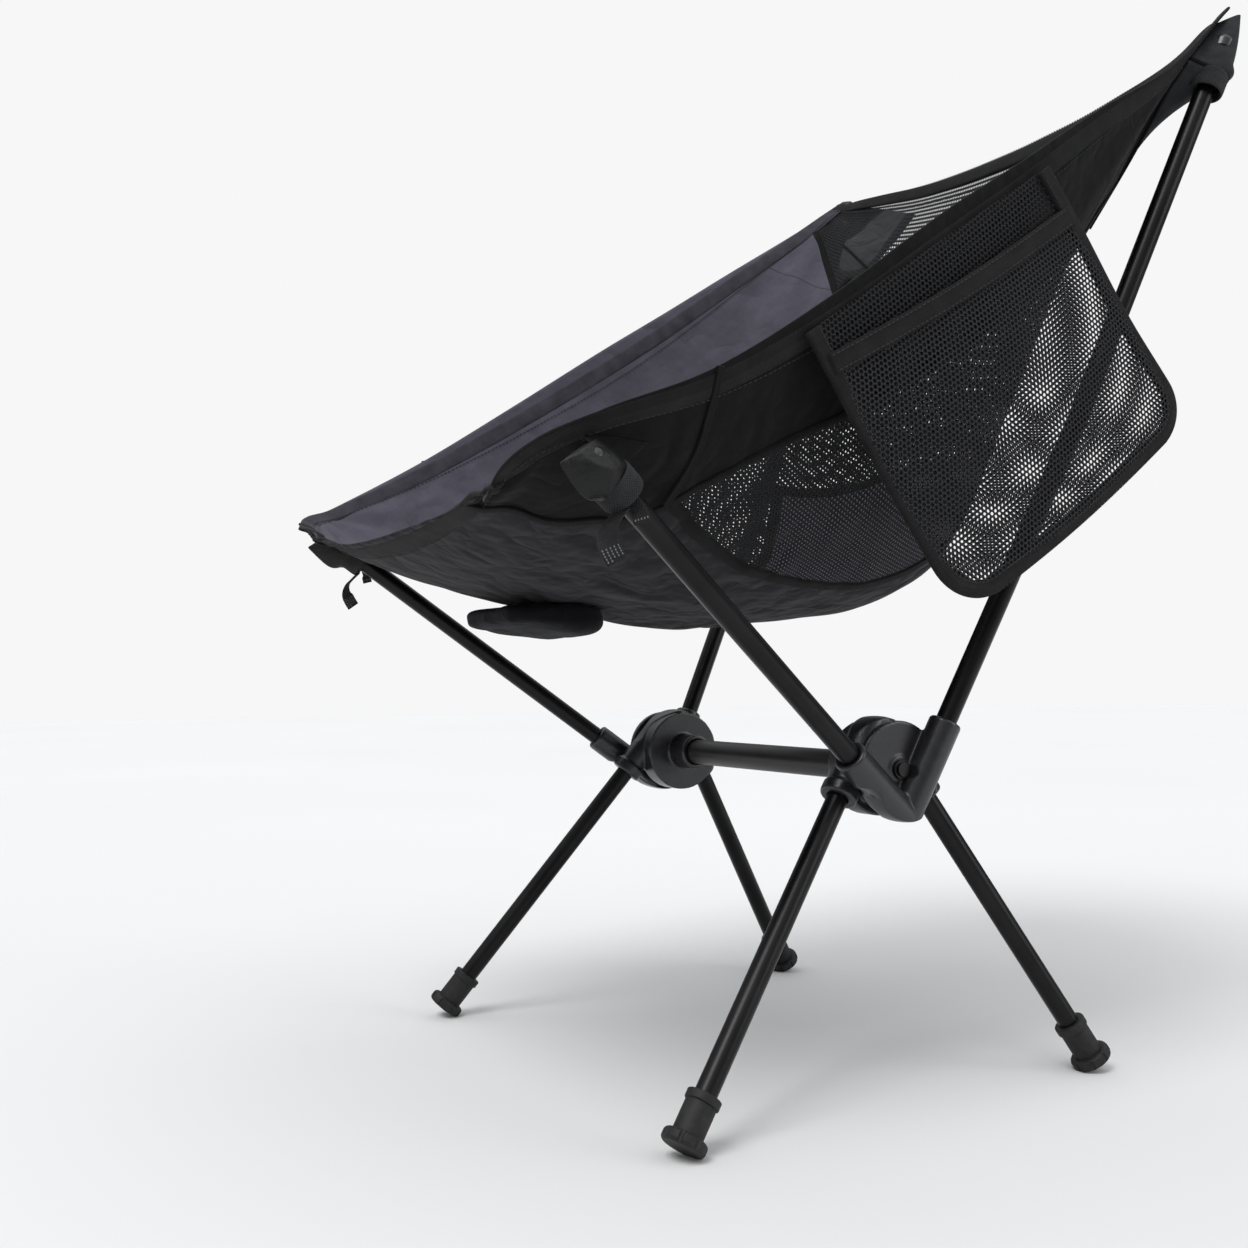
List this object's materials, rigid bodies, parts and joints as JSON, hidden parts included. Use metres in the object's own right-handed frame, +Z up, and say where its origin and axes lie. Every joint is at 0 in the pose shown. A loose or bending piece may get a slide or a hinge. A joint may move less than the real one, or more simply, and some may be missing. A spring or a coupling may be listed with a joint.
{
  "type": "ultralight backpacking chair",
  "caption": "Low folding camp chair: crossed black poles in side hubs carry a sling seat with mesh back, corner sleeves, a side pocket and rubber feet.",
  "frame": {"origin": "on the floor, under the middle of the whole part's box", "axes": "+Z up; +X to the sitter's left, the side with the mesh pocket; -Y to the front of the seat"},
  "size_m": [0.4348, 0.5428, 0.6676],
  "materials": {
    "crossbar": "dark grey anodised aluminium tube",
    "pole": "black anodised aluminium tube, satin",
    "ferrule": "plain aluminium sleeve inside the pole",
    "hub_nylon": "black glass-filled nylon, lightly textured",
    "tip_nylon": "black nylon plug",
    "pin_steel": "blackened steel",
    "shock_cord": "braided elastic cord",
    "foot_rubber": "black rubber",
    "seat_cloth": "dark grey plain-weave polyester",
    "side_cloth": "black plain-weave polyester",
    "mesh": "black warp-knit mesh with round holes",
    "tape": "black twill binding tape",
    "coated_cloth": "black coated cloth, slightly glossy",
    "webbing": "black woven webbing",
    "pouch_cloth": "dark navy plain-weave polyester"
  },
  "bodies": {
    "base": {"crossbar": "crossbar", "leg_yoke_left": "hub_nylon", "leg_yoke_right": "hub_nylon", "pivot_pins": "pin_steel", "pin_washers": "pin_steel"},
    "leg_front_left": {"leg_tube_front_left": "pole", "foot_front_left": "foot_rubber", "leg_cord_front_left": "shock_cord"},
    "leg_front_right": {"leg_tube_front_right": "pole", "foot_front_right": "foot_rubber", "leg_cord_front_right": "shock_cord"},
    "leg_rear_left": {"leg_tube_rear_left": "pole", "foot_rear_left": "foot_rubber", "leg_cord_rear_left": "shock_cord"},
    "leg_rear_right": {"leg_tube_rear_right": "pole", "foot_rear_right": "foot_rubber", "leg_cord_rear_right": "shock_cord"},
    "side_pocket": {"pocket_back_mesh": "mesh", "pocket_front_mesh": "mesh", "pocket_binding": "tape", "pocket_hem": "tape"},
    "seat": {"corner_sleeve_front_left": "coated_cloth", "corner_sleeve_front_right": "coated_cloth", "corner_sleeve_rear_left": "coated_cloth", "corner_sleeve_rear_right": "coated_cloth", "front_hem": "tape", "front_pole_cord_left": "shock_cord", "front_pole_cord_right": "shock_cord", "front_pole_left": "pole", "front_pole_right": "pole", "mesh_panel": "mesh", "pocket_band_front_left": "webbing", "pocket_band_front_right": "webbing", "pocket_band_rear_left": "webbing", "pocket_band_rear_right": "webbing", "pole_tip_front_left": "tip_nylon", "pole_tip_front_right": "tip_nylon", "pole_tip_rear_left": "tip_nylon", "pole_tip_rear_right": "tip_nylon", "pull_tab_left": "webbing", "pull_tab_right": "webbing", "rear_corner_patch_left": "side_cloth", "rear_corner_patch_right": "side_cloth", "rear_pole_cord_left": "shock_cord", "rear_pole_cord_right": "shock_cord", "rear_pole_ferrule_left": "ferrule", "rear_pole_ferrule_right": "ferrule", "rear_pole_lower_left": "pole", "rear_pole_lower_right": "pole", "rear_pole_upper_left": "pole", "rear_pole_upper_right": "pole", "seat_panel": "seat_cloth", "seat_yoke_left": "hub_nylon", "seat_yoke_right": "hub_nylon", "side_binding_left": "tape", "side_binding_right": "tape", "side_wing_left": "side_cloth", "side_wing_right": "side_cloth", "top_hem": "tape", "under_seat_pouch": "pouch_cloth"}
  },
  "joints": [
    {"name": "hub_fold", "type": "hinge", "parent": "base", "child": "seat", "pos_m": [0, 0.003, 0.187], "axis": [1, 0, 0], "range_deg": [0, 22]},
    {"name": "leg_pull_front_left", "type": "slide", "parent": "base", "child": "leg_front_left", "axis": [0.1819, -0.6118, -0.7698], "range_m": [0, 0.028], "stiffness_N_per_m": 250, "springref_m": -0.03},
    {"name": "leg_pull_front_right", "type": "slide", "parent": "base", "child": "leg_front_right", "axis": [-0.1819, -0.6118, -0.7698], "range_m": [0, 0.028], "stiffness_N_per_m": 250, "springref_m": -0.03},
    {"name": "leg_pull_rear_left", "type": "slide", "parent": "base", "child": "leg_rear_left", "axis": [0.1773, 0.5057, -0.8443], "range_m": [0, 0.028], "stiffness_N_per_m": 250, "springref_m": -0.03},
    {"name": "leg_pull_rear_right", "type": "slide", "parent": "base", "child": "leg_rear_right", "axis": [-0.1773, 0.5057, -0.8443], "range_m": [0, 0.028], "stiffness_N_per_m": 250, "springref_m": -0.03},
    {"name": "pocket_swing", "type": "hinge", "parent": "seat", "child": "side_pocket", "pos_m": [0.2056, -0.1094, 0.4191], "axis": [0, -0.832, -0.5548], "range_deg": [0, 90]}
  ]
}
